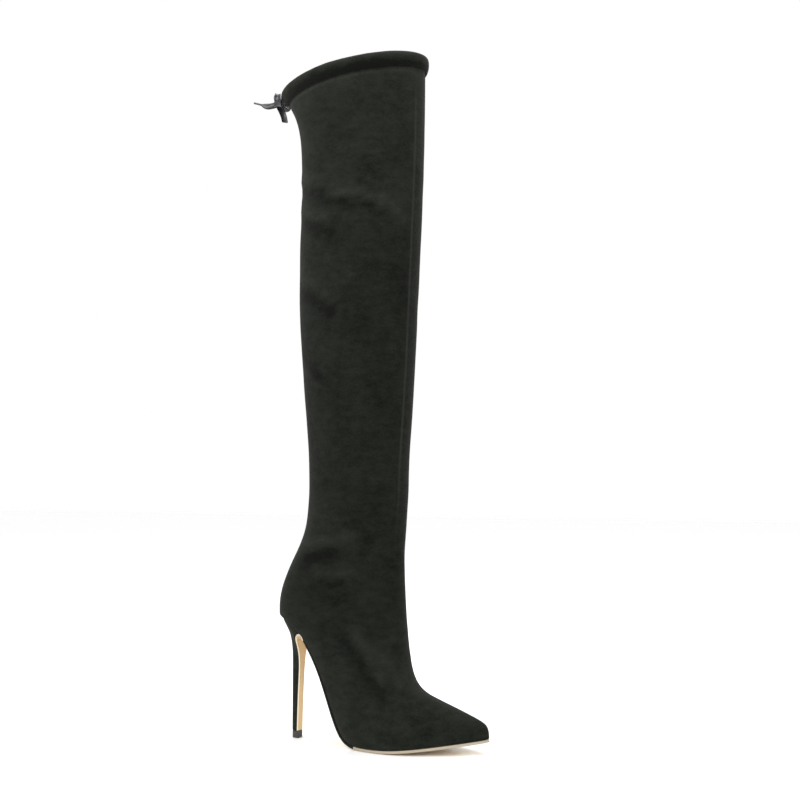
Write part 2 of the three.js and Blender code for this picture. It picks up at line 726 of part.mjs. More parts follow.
// widthAlong is the direction of the ribbon's width at its start, widthAtEnd at its end.
const ribbonPieces = [
  { name: "ribbon_lead_outer", widthAlong: wallUp(-1), points: leadPoints(-1) },
  { name: "ribbon_lead_inner", widthAlong: wallUp(1), points: leadPoints(1) },
  { name: "ribbon_loop_outer", widthAlong: [1, 0.2, 0], points: loopPoints(-1, 0) },
  { name: "ribbon_loop_inner", widthAlong: [1, -0.2, 0], points: loopPoints(1, 1.5) },
  {
    name: "ribbon_end_back",
    widthAlong: [0.2, 0.2, 1],
    widthAtEnd: [0, 1, 0.2],
    points: aroundKnot([
      [-3.5, 0, -0.5],
      [-7, -1, -2],
      [-13, -2, -2.5],
      [-19, -2.5, -1],
      [-25, -3, 1.5],
      [-30, -3, 3],
    ]),
  },
  {
    name: "ribbon_end_down",
    widthAlong: [1, 0.4, 0],
    points: aroundKnot([
      [-0.2, 0, -5.5],
      [1, 0.5, -9],
      [2.5, 1, -14],
      [3, 1.4, -19.5],
    ]),
  },
];

// Knot: a small soft block where the ribbon is tied.
function knotGeometry() {
  const geometry = new THREE.SphereGeometry(0.5, 12, 8);
  geometry.scale(knotDepth, knotWidth, knotHeight);
  geometry.translate(knotPlace.x, knotPlace.y, knotPlace.z);
  geometry.deleteAttribute("normal");
  geometry.deleteAttribute("uv");
  return mergeVertices(geometry, 1e-3);
}

const part = new THREE.Group();
part.name = "thigh_high_boot";
const suede = new THREE.MeshStandardMaterial({ color: 0x23251f, roughness: 0.95, metalness: 0 });
const tan = new THREE.MeshStandardMaterial({ color: 0xcdb082, roughness: 0.5, metalness: 0 });
const satin = new THREE.MeshStandardMaterial({ color: 0x20222b, roughness: 0.35, metalness: 0 });
const rubber = new THREE.MeshStandardMaterial({ color: 0x1b1b1a, roughness: 0.6, metalness: 0 });
const board = new THREE.MeshStandardMaterial({ color: 0xb99f7d, roughness: 0.8, metalness: 0 });

function add(name, geometry, material) {
  const mesh = new THREE.Mesh(geometry, material.clone());
  mesh.name = name;
  part.add(mesh);
}

add("upper", upperGeometry(), suede);
add("insole", insoleGeometry(), board);
add("outsole", outsoleGeometry(), tan);
add("heel", heelGeometry(), suede);
add("top_lift", topLiftGeometry(), rubber);
add("casing", casingGeometry(), suede);
add("ribbon_knot", knotGeometry(), satin);
ribbonPieces.forEach(({ name, points, widthAlong, widthAtEnd }) => {
  add(name, ribbonGeometry(points, widthAlong, widthAtEnd), satin);
});

export default part;
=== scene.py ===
import math

import bmesh
import bpy
import numpy as np
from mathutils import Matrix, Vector, noise


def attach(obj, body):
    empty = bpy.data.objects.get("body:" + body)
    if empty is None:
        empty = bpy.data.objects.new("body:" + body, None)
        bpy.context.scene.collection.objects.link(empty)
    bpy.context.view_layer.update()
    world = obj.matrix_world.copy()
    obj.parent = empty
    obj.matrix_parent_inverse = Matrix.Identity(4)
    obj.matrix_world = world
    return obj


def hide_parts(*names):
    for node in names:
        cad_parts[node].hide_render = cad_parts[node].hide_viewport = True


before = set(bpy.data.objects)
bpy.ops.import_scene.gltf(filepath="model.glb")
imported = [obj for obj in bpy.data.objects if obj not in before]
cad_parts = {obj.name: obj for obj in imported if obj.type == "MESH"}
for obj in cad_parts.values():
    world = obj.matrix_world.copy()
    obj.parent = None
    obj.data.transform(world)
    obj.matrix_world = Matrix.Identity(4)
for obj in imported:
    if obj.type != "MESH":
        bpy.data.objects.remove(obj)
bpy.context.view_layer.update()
mm = 0.001
print("frame loaded")

# Camera
cameraSet = {
    "azimuth": 25,  # degrees round from the boot's outer side towards the toe
    "pitch": 3.5,  # degrees up
    "distance": 1.24,
    "height": 0.257,
    "sideStep": 0.102,  # to the right, so that the boot stands left of the middle
    "lens": 55.8,
}


def makeCamera():
    azimuth, pitch = math.radians(cameraSet["azimuth"]), math.radians(cameraSet["pitch"])
    ahead = Vector((-math.sin(azimuth), math.cos(azimuth), 0))
    right = Vector((math.cos(azimuth), math.sin(azimuth), 0))
    data = bpy.data.cameras.new("camera")
    data.lens = cameraSet["lens"]
    camera = bpy.data.objects.new("camera", data)
    camera.location = right * cameraSet["sideStep"] - ahead * cameraSet["distance"]
    camera.location.z = cameraSet["height"]
    camera.rotation_euler = (math.radians(90) + pitch, 0, azimuth)
    bpy.context.collection.objects.link(camera)
    bpy.context.scene.camera = camera
    bpy.context.scene.view_settings.view_transform = "Standard"  # the photo's plain contrast


makeCamera()


# Shader helpers
def newMaterial(name, color, roughness):
    # the colour here is the plain one, which a pattern is linked over later
    material = bpy.data.materials.new(name)
    material.use_nodes = True
    tree = material.node_tree
    shader = tree.nodes["Principled BSDF"]
    shader.inputs["Base Color"].default_value = (*color, 1)
    shader.inputs["Roughness"].default_value = roughness
    return material, tree, shader


def addNode(tree, kind, values=None, **settings):
    node = tree.nodes.new(kind)
    for key, value in settings.items():
        setattr(node, key, value)
    for key, value in (values or {}).items():
        if isinstance(value, bpy.types.NodeSocket):
            tree.links.new(value, node.inputs[key])
        else:
            node.inputs[key].default_value = value
    return node


def math2(tree, operation, first, second=0.5):
    return addNode(tree, "ShaderNodeMath", {0: first, 1: second}, operation=operation).outputs[0]


def mapRange(tree, value, low, high, first, last):
    values = {"Value": value, "From Min": low, "From Max": high, "To Min": first, "To Max": last}
    node = addNode(tree, "ShaderNodeMapRange", values, interpolation_type="SMOOTHSTEP")
    return node.outputs[0]


def mixColor(tree, factor, first, second, blend="MIX"):
    mix = addNode(tree, "ShaderNodeMix", {"Factor": factor}, data_type="RGBA", blend_type=blend)
    for socket, color in ((mix.inputs[6], first), (mix.inputs[7], second)):
        if isinstance(color, bpy.types.NodeSocket):
            tree.links.new(color, socket)
        else:
            socket.default_value = (*color, 1)
    return mix.outputs[2]


def objectPlace(tree, scale=(1, 1, 1)):
    place = addNode(tree, "ShaderNodeTexCoord").outputs["Object"]
    return addNode(tree, "ShaderNodeMapping", {"Vector": place, "Scale": scale}).outputs[0]


def noiseAt(tree, place, scale, detail, roughness):
    values = {"Vector": place, "Scale": scale, "Detail": detail, "Roughness": roughness}
    return addNode(tree, "ShaderNodeTexNoise", values).outputs[0]


def rampOf(tree, factor, positions, colors):
    ramp = addNode(tree, "ShaderNodeValToRGB", {0: factor})
    while len(ramp.color_ramp.elements) < len(positions):
        ramp.color_ramp.elements.new(0.5)
    for element, position, color in zip(ramp.color_ramp.elements, positions, colors):
        element.position = position
        element.color = (*color, 1)
    return ramp.outputs[0]


def addBump(tree, shader, height, strength, distance):
    # one more bump on top of those that the shader has already
    values = {"Height": height, "Strength": strength, "Distance": distance}
    bump = addNode(tree, "ShaderNodeBump", values)
    if shader.inputs["Normal"].is_linked:
        tree.links.new(shader.inputs["Normal"].links[0].from_socket, bump.inputs["Normal"])
    tree.links.new(bump.outputs[0], shader.inputs["Normal"])


# Materials
# Scales are per metre. Each bump is given by its strength and its depth in metres, and stops
# say where the colours, from dark to light, lie in the noise.
suedeSet = {
    "dark": (0.0032, 0.0037, 0.0027),
    "light": (0.0121, 0.0136, 0.0104),
    # the lightest colour stands for rubbed nap and for the painted highlights on ridges and seams
    "rubbedAndHighlight": (0.0235, 0.0255, 0.0215),
    "stops": (0.34, 0.62, 0.92),
    "roughness": 0.92,
    "specular": 0.04,
    "sheen": 0.055,
    "sheenRoughness": 0.5,
    "sheenTint": (0.78, 0.8, 0.74),
    "detail": 4,  # of all three noises
    "cloudScale": 26,  # brushed patches
    "cloudRoughness": 0.55,
    "cloudShare": 0.3,  # of the colour's noise
    "patchScale": 95,  # smaller patches, drawn out sideways
    "patchStretch": (1, 1, 1.8),
    "patchRoughness": 0.62,
    "patchShare": 0.4,
    "patchBump": (0.35, 0.0014),
    "napScale": 420,
    "napStretch": (1, 1, 1.7),
    "napRoughness": 0.65,
    "napShare": 0.3,
    "napBump": (0.4, 0.0006),
    "rubAndPaintedLight": 0.16,  # how far a value of 1 in the rub attribute, which holds nap rub together with painted light, moves the nap towards its lighter colours
    "seamHalf": 0.0022,  # half width of a seam
    "seamPaintedHighlight": 0.45,  # how far a seam is painted lighter, as a painted highlight, towards the lightest colour
    "seamBump": (0.5, 0.0005),
    "seamStart": (0.17, 0.3),  # heights between which the seams appear
    "seamEnd": (0.6, 0.64),  # heights between which they fade out
    "frontSeamSide": -0.011,  # the front seam lies a little to the outer side
    "frontSeamFrom": (0.05, 0.09),  # lengths between which the seam's place turns to that
    "legTone": 0.8,  # the leg under the knee against the leg above it
    "legHeights": (0.42, 0.56),  # heights between which that tone changes
    "footTone": 1.3,  # the foot against the leg
    "footHeights": (0.02, 0.15),
}


def seamLine(tree, axes):
    # narrow lines down the front and the centre back of the leg
    side = mapRange(tree, axes[0], *suedeSet["frontSeamFrom"], 0, suedeSet["frontSeamSide"])
    off = math2(tree, "ABSOLUTE", math2(tree, "SUBTRACT", axes[1], side))
    line = mapRange(tree, off, 0, suedeSet["seamHalf"], 1, 0)
    above = mapRange(tree, axes[2], *suedeSet["seamStart"], 0, 1)
    below = mapRange(tree, axes[2], *suedeSet["seamEnd"], 1, 0)
    return math2(tree, "MULTIPLY", math2(tree, "MULTIPLY", line, above), below)


def makeSuede(name="suede", wornAndPaintedLight=True, seams=True, lift=1.0):
    # worn suede reads the rub attribute, which holds nap rub together with painted shade and
    # painted highlights, seams bring the tones of leg and foot with them, and lift is how much
    # lighter than the leg the whole material is
    material, tree, shader = newMaterial(name, suedeSet["light"], suedeSet["roughness"])
    shader.inputs["Specular IOR Level"].default_value = suedeSet["specular"]
    shader.inputs["Sheen Weight"].default_value = suedeSet["sheen"]
    shader.inputs["Sheen Roughness"].default_value = suedeSet["sheenRoughness"]
    shader.inputs["Sheen Tint"].default_value = (*suedeSet["sheenTint"], 1)
    detail = suedeSet["detail"]
    place = objectPlace(tree)
    cloud = noiseAt(tree, place, suedeSet["cloudScale"], detail, suedeSet["cloudRoughness"])
    wide = objectPlace(tree, suedeSet["patchStretch"])
    patches = noiseAt(tree, wide, suedeSet["patchScale"], detail, suedeSet["patchRoughness"])
    fine = objectPlace(tree, suedeSet["napStretch"])
    napAndPaintedLight = noiseAt(tree, fine, suedeSet["napScale"], detail, suedeSet["napRoughness"])
    mixed = math2(tree, "MULTIPLY", cloud, suedeSet["cloudShare"])
    for part, share in ((patches, suedeSet["patchShare"]), (napAndPaintedLight, suedeSet["napShare"])):
        mixed = math2(tree, "ADD", mixed, math2(tree, "MULTIPLY", part, share))
    if wornAndPaintedLight:
        # the attribute adds nap rub together with painted shade and painted highlights to the
        # colour
        rubAndPaintedLight = addNode(tree, "ShaderNodeAttribute", attribute_name="rubAndPaintedLight").outputs["Fac"]
        mixed = math2(tree, "ADD", mixed, math2(tree, "MULTIPLY", rubAndPaintedLight, suedeSet["rubAndPaintedLight"]))
    dark = [value * lift for value in suedeSet["dark"]]
    light = [value * lift for value in suedeSet["light"]]
    rubbedAndHighlight = [value * lift for value in suedeSet["rubbedAndHighlight"]]
    color = rampOf(tree, mixed, suedeSet["stops"], (dark, light, rubbedAndHighlight))
    if seams:
        axes = addNode(tree, "ShaderNodeSeparateXYZ", {0: place}).outputs
        seam = seamLine(tree, axes)
        leg = mapRange(tree, axes[2], *suedeSet["legHeights"], suedeSet["legTone"], 1.0)
        foot = mapRange(tree, axes[2], *suedeSet["footHeights"], suedeSet["footTone"], 1.0)
        tone = math2(tree, "MULTIPLY", leg, foot)
        shade = addNode(tree, "ShaderNodeCombineXYZ", {0: tone, 1: tone, 2: tone}).outputs[0]
        color = mixColor(tree, 1.0, color, shade, "MULTIPLY")
        # the seams are painted lighter: a painted highlight along each seam line, over the seam's
        # real bump
        amount = math2(tree, "MULTIPLY", seam, suedeSet["seamPaintedHighlight"])
        color = mixColor(tree, amount, color, rubbedAndHighlight)
    tree.links.new(color, shader.inputs["Base Color"])
    addBump(tree, shader, napAndPaintedLight, *suedeSet["napBump"])
    addBump(tree, shader, patches, *suedeSet["patchBump"])
    if seams:
        addBump(tree, shader, seam, *suedeSet["seamBump"])
    return material


leatherSet = {
    "stops": (0.3, 0.7),
    "cloudScale": 22,
    "cloudDetail": 5,
    "cloudShare": 0.7,  # of the colour's noise
    "fibreDetail": 4,
    "fibreShare": 0.3,
    "fibreDepth": 0.0003,
    "noiseRoughness": 0.6,
    "coatRoughness": 0.25,
}


def makeLeather(name, dark, light, roughness, grain, strength, coat=0.0):
    # grain is the scale of the fibres, and strength that of their bump
    material, tree, shader = newMaterial(name, light, roughness)
    shader.inputs["Coat Weight"].default_value = coat
    shader.inputs["Coat Roughness"].default_value = leatherSet["coatRoughness"]
    place = objectPlace(tree)
    rough = leatherSet["noiseRoughness"]
    cloud = noiseAt(tree, place, leatherSet["cloudScale"], leatherSet["cloudDetail"], rough)
    fibre = noiseAt(tree, place, grain, leatherSet["fibreDetail"], rough)
    mixed = math2(tree, "MULTIPLY_ADD", cloud, leatherSet["cloudShare"])
    fibrePart = math2(tree, "MULTIPLY", fibre, leatherSet["fibreShare"])
    tree.links.new(fibrePart, mixed.node.inputs[2])
    color = rampOf(tree, mixed, leatherSet["stops"], (dark, light))
    tree.links.new(color, shader.inputs["Base Color"])
    addBump(tree, shader, fibre, strength, leatherSet["fibreDepth"])
    return material


satinSet = {
    "plain": (0.007, 0.0075, 0.012),
    "dark": (0.004, 0.0045, 0.006),
    "light": (0.009, 0.0095, 0.013),
    "stops": (0.3, 0.7),
    "roughness": 0.27,
    "specular": 0.45,
    "sheen": 0.05,
    "sheenRoughness": 0.3,
    "weaveScale": 1800,
    "weaveStretch": (1, 1, 5),
    "weaveDetail": 2,
    "weaveRoughness": 0.5,
    "weaveBump": (0.15, 0.0002),
}


def makeSatin():
    material, tree, shader = newMaterial("satin", satinSet["plain"], satinSet["roughness"])
    shader.inputs["Specular IOR Level"].default_value = satinSet["specular"]
    shader.inputs["Sheen Weight"].default_value = satinSet["sheen"]
    shader.inputs["Sheen Roughness"].default_value = satinSet["sheenRoughness"]
    place = objectPlace(tree, satinSet["weaveStretch"])
    detail, rough = satinSet["weaveDetail"], satinSet["weaveRoughness"]
    weave = noiseAt(tree, place, satinSet["weaveScale"], detail, rough)
    threads = rampOf(tree, weave, satinSet["stops"], (satinSet["dark"], satinSet["light"]))
    tree.links.new(threads, shader.inputs["Base Color"])
    addBump(tree, shader, weave, *satinSet["weaveBump"])
    return material


rubberSet = {
    "plain": (0.012, 0.012, 0.011),
    "dark": (0.009, 0.009, 0.008),
    "light": (0.02, 0.02, 0.019),
    "stops": (0.35, 0.7),
    "roughness": 0.5,
    "speckScale": 900,
    "speckDetail": 3,
    "speckRoughness": 0.6,
    "speckBump": (0.2, 0.0002),
}


def makeRubber():
    plain, roughness = rubberSet["plain"], rubberSet["roughness"]
    material, tree, shader = newMaterial("topLiftRubber", plain, roughness)
    detail, rough = rubberSet["speckDetail"], rubberSet["speckRoughness"]
    speck = noiseAt(tree, objectPlace(tree), rubberSet["speckScale"], detail, rough)
    tone = rampOf(tree, speck, rubberSet["stops"], (rubberSet["dark"], rubberSet["light"]))
    tree.links.new(tone, shader.inputs["Base Color"])
    addBump(tree, shader, speck, *rubberSet["speckBump"])
    return material


suede = makeSuede()
casingSuede = makeSuede("casingSuede", seams=False)
heelSuede = makeSuede("heelSuede", wornAndPaintedLight=False, seams=False, lift=1.2)
lining = makeLeather(
    "lining",
    dark=(0.02, 0.019, 0.018),
    light=(0.034, 0.032, 0.03),
    roughness=0.75,
    grain=600,
    strength=0.1,
)
soleTan = makeLeather(
    "soleTan",
    dark=(0.5, 0.345, 0.15),
    light=(0.66, 0.485, 0.235),
    roughness=0.42,
    grain=380,
    strength=0.1,
    coat=0.15,
)
soleEdge = makeLeather(
    "soleEdge",
    dark=(0.272, 0.224, 0.155),
    light=(0.34, 0.292, 0.222),
    roughness=0.5,
    grain=500,
    strength=0.15,
)
flapEdge = makeLeather(
    "flapEdge",
    dark=(0.5, 0.44, 0.34),
    light=(0.6, 0.54, 0.43),
    roughness=0.5,
    grain=500,
    strength=0.15,
)
sock = makeLeather(
    "sockLeather",
    dark=(0.33, 0.24, 0.15),
    light=(0.45, 0.34, 0.22),
    roughness=0.6,
    grain=420,
    strength=0.12,
)
satin = makeSatin()
rubber = makeRubber()
print("materials made")

# Copies of the solids
copySet = {
    "merge": 0.002,  # points closer together than this become one, in millimetres
    "flatDegrees": 40,  # triangles that bend less than this are joined
}


def linkPiece(name, mesh, materials):
    for material in materials:
        mesh.materials.append(material)
    piece = bpy.data.objects.new(name, mesh)
    bpy.context.collection.objects.link(piece)
    return piece


def quadCopy(node, settings):
    # the node's triangles joined into four-sided faces, with its sharp edges kept
    shape = bmesh.new()
    shape.from_mesh(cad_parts[node].data)
    bmesh.ops.remove_doubles(shape, verts=shape.verts, dist=copySet["merge"] * mm)
    bmesh.ops.join_triangles(
        shape,
        faces=shape.faces,
        angle_face_threshold=math.radians(copySet["flatDegrees"]),
        angle_shape_threshold=math.pi,
    )
    creases = shape.edges.layers.float.new("crease_edge")
    sharp = math.radians(settings["sharpDegrees"])
    for edge in shape.edges:
        if len(edge.link_faces) == 2 and edge.calc_face_angle() > sharp:
            edge[creases] = settings["crease"]
            edge.seam = True
    return shape


def islandFrom(start):
    # faces that are reached from one face without crossing a sharp edge
    found, waiting = {start}, [start]
    while waiting:
        for edge in waiting.pop().edges:
            if edge.seam:
                continue
            for face in edge.link_faces:
                if face not in found:
                    found.add(face)
                    waiting.append(face)
    return found


def subdivided(shape, levels, name):
    # the subdivision surface of a shape, as a new shape
    mesh = bpy.data.meshes.new(name)
    shape.to_mesh(mesh)
    shape.free()
    holder = linkPiece(name, mesh, [])
    modifier = holder.modifiers.new("subdivision", "SUBSURF")
    modifier.levels = modifier.render_levels = levels
    graph = bpy.context.evaluated_depsgraph_get()
    smooth = bpy.data.meshes.new_from_object(holder.evaluated_get(graph))
    made = bmesh.new()
    made.from_mesh(smooth)
    bpy.data.objects.remove(holder)
    bpy.data.meshes.remove(smooth)
    return made


def finishPiece(shape, name, materials, nodes):
    mesh = bpy.data.meshes.new(name)
    for face in shape.faces:
        face.smooth = True
    shape.to_mesh(mesh)
    shape.free()
    piece = linkPiece(name, mesh, materials)
    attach(piece, "root")
    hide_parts(*nodes)
    print(name, "made,", len(mesh.polygons), "faces")
    return piece


def soften(piece):
    modifier = piece.modifiers.new("soft", "SUBSURF")
    modifier.levels = modifier.render_levels = 1


# Ribbon
ribbonSet = {
    "width": 7,  # this and the next three are in millimetres
    "thickness": 0.4,
    "step": 1.2,  # from one row of places to the next
    "cup": 0.9,  # how far the ribbon's edges stand up
    "cupRest": 0.4,  # share of that by which its middle sinks
    "crumple": 0.35,  # height of its soft unevenness, in millimetres
    "crumpleLength": 0.006,
    "crumpleAcross": 0.8,  # how much the unevenness changes from the middle to an edge
    "slant": 0.35,  # of the cut at the free ends
    "columns": 6,
    "finePlaces": 12,  # places on the curve from one point of a route to the next
    # share of the length, and the ribbon's width there against its full width
    "widths": {
        "ribbonOuter": [(0.82, 1), (0.86, 0.75), (0.89, 0.36)],
        "ribbonInner": [
            (0.3, 1),
            (0.36, 0.6),
            (0.42, 0.9),
            (0.5, 1.2),
            (0.56, 1.1),
            (0.62, 1),
            (1, 0.85),
        ],
    },
}
# Routes in millimetres: from one end of the casing, through the knot into a loop, and back
# through the knot to a free end. Each point has the direction of the ribbon's width there.
upright, level = (-0.45, 0, 0.88), (1, 0.2, 0)
outerRoute = [
    ((-10.3, -10.6, 637.7), upright),
    ((-13.4, -6.7, 637.3), upright),
    ((-16.4, -5.3, 638.0), (-0.2, 0, 1)),
    ((-19.6, -2.9, 638.5), (0, 0, 1)),
    ((-22.3, 0.3, 639.3), (0.7, 0, 0.7)),
    ((-24.3, 4.5, 640.1), (1, -0.2, 0)),
    ((-23.8, 7.5, 643.0), (1, -0.2, 0)),
    ((-22.8, 11.5, 644.5), (1, -0.2, 0)),
    ((-21.8, 15.0, 641.0), (1, -0.2, 0)),
    ((-21.3, 15.5, 636.0), (1, -0.2, 0)),
    ((-21.8, 12.0, 632.0), (1, -0.2, 0)),
    ((-23.3, 7.5, 634.3), (1, -0.2, 0)),
    ((-24.3, 4.5, 637.1), (0.8, 0, 0.5)),
    ((-25.0, 1.4, 637.9), (0.4, 0, 0.9)),
    ((-27.2, 0.0, 637.6), (0.2, 0.2, 1)),
    ((-29.8, -1.0, 636.5), (0.2, 0.2, 1)),
    ((-35.8, -2.0, 636.0), (0.15, 0.2, 1)),
    ((-41.8, -2.5, 637.8), (0.1, 0.3, 1)),
    ((-47.8, -3.0, 640.0), (0, 0.5, 1)),
    ((-52.8, -3.0, 641.5), (0, 0.5, 1)),
]
innerRoute = [
    ((-10.3, 10.6, 637.7), upright),
    ((-13.5, 6.5, 638.1), upright),
    ((-16.4, 5.3, 638.0), (-0.2, 0, 1)),
    ((-19.6, 2.9, 638.5), (0, 0, 1)),
    ((-22.0, -0.3, 638.9), (0.7, 0, 0.7)),
    ((-23.8, -4.5, 640.1), level),
    ((-21.6, -7.5, 643.4), (1, 0.2, 0.2)),
    ((-19.0, -11.5, 644.3), (1, 0, -0.2)),
    ((-16.8, -15.0, 641.0), (1, -0.2, -0.6)),
    ((-16.6, -15.8, 635.5), (1, -0.1, -0.5)),
    ((-18.6, -12.0, 631.5), (1, 0.2, -0.1)),
    ((-22.0, -7.5, 633.0), level),
    ((-23.8, -4.5, 637.1), level),
    ((-23.8, -1.2, 636.4), level),
    ((-23.0, 0.0, 633.0), (1, 0.4, 0)),
    ((-21.0, 0.5, 629.0), (1, 0.4, 0)),
    ((-19.0, 1.0, 623.5), (1, 0.4, 0)),
    ((-17.8, 1.4, 617.5), (1, 0.4, 0)),
]


def smoothRoute(route):
    # places at even steps along a curve through the route's points, with their widths
    points = [Vector(place) * mm for place, _ in route]
    widths = [Vector(width).normalized() for _, width in route]
    fine = []
    for k in range(len(points) - 1):
        before, after = points[max(k - 1, 0)], points[min(k + 2, len(points) - 1)]
        start, end = points[k], points[k + 1]
        for n in range(ribbonSet["finePlaces"]):
            u = n / ribbonSet["finePlaces"]
            curve = 2 * start + (end - before) * u
            curve += (2 * before - 5 * start + 4 * end - after) * u**2
            curve += (3 * start - before - 3 * end + after) * u**3
            fine.append((curve / 2, widths[k].lerp(widths[k + 1], u)))
    fine.append((points[-1], widths[-1]))
    runs = [0]
    for (here, _), (there, _) in zip(fine, fine[1:]):
        runs.append(runs[-1] + (there - here).length)
    count = round(runs[-1] / (ribbonSet["step"] * mm))
    even = []
    for want in np.linspace(0, runs[-1], count + 1):
        k = min(int(np.searchsorted(runs, want, "right")), len(runs) - 1)
        share = (want - runs[k - 1]) / (runs[k] - runs[k - 1])
        (here, wide), (there, wider) = fine[k - 1], fine[k]
        even.append((here.lerp(there, share), wide.lerp(wider, share)))
    return even


def ribbonRow(name, even, k):
    # places across the ribbon at one step, cupped a little and cut on a slant at its end;
    # the end that points back is gathered to a thin tip
    place, wide = even[k]
    run = (even[min(k + 1, len(even) - 1)][0] - even[max(k - 1, 0)][0]).normalized()
    wide = (wide - run * wide.dot(run)).normalized()
    out = run.cross(wide)
    half = ribbonSet["width"] * mm / 2
    slant = ribbonSet["slant"] if k == len(even) - 1 else 0
    half *= float(np.interp(k / (len(even) - 1), *zip(*ribbonSet["widths"][name])))
    row = []
    for n in range(ribbonSet["columns"] + 1):
        share = 2 * n / ribbonSet["columns"] - 1
        across = wide * share * ribbonSet["crumpleAcross"]
        crumple = noise.noise(place / ribbonSet["crumpleLength"] + across) * ribbonSet["crumple"]
        lift = (ribbonSet["cup"] * (share**2 - ribbonSet["cupRest"]) + crumple) * mm
        row.append(place + wide * share * half + out * lift + run * slant * share * half)
    return row


def makeRibbon(name, route, nodes):
    even = smoothRoute(route)
    shape = bmesh.new()
    first = [shape.verts.new(place) for place in ribbonRow(name, even, 0)]
    line = [shape.edges.new(pair) for pair in zip(first, first[1:])]
    for k in range(1, len(even)):
        made = bmesh.ops.extrude_edge_only(shape, edges=line)["geom"]
        fresh = [item for item in made if isinstance(item, bmesh.types.BMVert)]
        line = [item for item in made if isinstance(item, bmesh.types.BMEdge)]
        before = ribbonRow(name, even, k - 1)
        after = ribbonRow(name, even, k)
        for vert in fresh:
            nearest = min(range(len(before)), key=lambda n: (before[n] - vert.co).length)
            vert.co = after[nearest]
    bmesh.ops.recalc_face_normals(shape, faces=shape.faces)
    bmesh.ops.solidify(shape, geom=shape.faces[:], thickness=ribbonSet["thickness"] * mm)
    piece = finishPiece(shape, name, [satin], nodes)
    soften(piece)
    path = [tuple(place) for place, _ in even]
    length = sum(math.dist(a, b) for a, b in zip(path, path[1:]))
    return piece, path, length


knotSet = {
    "middle": (-22.8, 0, 638.5),  # this and the next three are in millimetres
    "radius": 3.4,
    "halfLength": 3.7,  # across the leg
    "thickness": 0.4,
    "segments": 24,
    "cuts": 7,
    "fullness": 1.08,  # of its middle against the radius
    "taper": 0.3,  # how much of that is gone at its ends
    "ripple": 0.05,  # of its outline, and how fast it goes up and down
    "rippleTurn": 3.1,
    "foldDepth": 0.06,
    "folds": 5,
    "deep": 0.92,  # its three sizes against a plain round roll
    "tall": 1.3,
    "long": 0.98,
}


def makeKnot():
    # a short roll of ribbon across the leg, fullest in its middle, with soft folds
    shape = bmesh.new()
    radius = knotSet["radius"] * mm
    bmesh.ops.create_cone(
        shape,
        cap_ends=False,
        segments=knotSet["segments"],
        radius1=radius,
        radius2=radius,
        depth=2 * knotSet["halfLength"] * mm,
    )
    uprights = [edge for edge in shape.edges if abs(edge.verts[0].co.z - edge.verts[1].co.z) > mm]
    bmesh.ops.subdivide_edges(shape, edges=uprights, cuts=knotSet["cuts"])
    middle = Vector(knotSet["middle"]) * mm
    for vert in shape.verts:
        x, y, z = vert.co
        share = abs(z) / (knotSet["halfLength"] * mm)
        ripple = knotSet["ripple"] * math.sin(z / mm * knotSet["rippleTurn"])
        fullness = knotSet["fullness"] - knotSet["taper"] * share**2 + ripple
        turn = knotSet["folds"] * math.atan2(y, x) + z / mm
        folds = 1 + knotSet["foldDepth"] * math.sin(turn)
        off = Vector((x * knotSet["deep"], z, y * knotSet["tall"]))
        vert.co = middle + off * (fullness * folds)
        vert.co.y = z * knotSet["long"]
    bmesh.ops.recalc_face_normals(shape, faces=shape.faces)
    bmesh.ops.solidify(shape, geom=shape.faces[:], thickness=knotSet["thickness"] * mm)
    piece = finishPiece(shape, "ribbonKnot", [satin], ["ribbon_knot"])
    soften(piece)
    return piece


def makeBow():
    knot = makeKnot()
    sides = {
        "ribbonOuter": (outerRoute, ["ribbon_lead_outer", "ribbon_loop_inner", "ribbon_end_back"]),
        "ribbonInner": (innerRoute, ["ribbon_lead_inner", "ribbon_loop_outer", "ribbon_end_down"]),
    }
    for name, (route, nodes) in sides.items():
        piece, path, length = makeRibbon(name, route, nodes)
        print(name, "is", round(length, 4), "m long")


makeBow()

# Casing
casingSet = {
    "sharpDegrees": 50,
    "crease": 0.6,
    "levels": 2,
    "middle": 0.066,  # of the leg, from the heel's middle
    "turns": 90,  # directions round the leg in which the casing's height is taken
    "bulge": 0.8,  # how much fuller its middle is, in millimetres
    "bulgeFacing": 0.2,  # only places that face outwards more than this bulge
    "folds": [(0.18, 0.012), (0.25, 0.045)],  # heights in millimetres, lengths in metres
    # share of the casing's height, and the lightness painted there: the top of the roll painted
    # lighter as if lit from above, its lower edge painted darker as shade
    "napAndPaintedLight": [(0, -2.2), (0.12, -1.8), (0.35, -0.7), (0.6, 0.15), (0.8, 1.3), (1, 3.4)],
}


def turnsOf(places):
    return np.arctan2(places[:, 1], places[:, 0] - casingSet["middle"])


def edgeHeights(places):
    # direction round the leg, and lower and upper edge of the casing there
    turns = turnsOf(places)
    edges = np.linspace(-math.pi, math.pi, casingSet["turns"] + 1)
    found = []
    for low, high in zip(edges, edges[1:]):
        inside = (turns >= low) & (turns < high)
        if inside.any():
            heights = places[inside, 2]
            found.append(((low + high) / 2, heights.min(), heights.max()))
    return np.array(found)


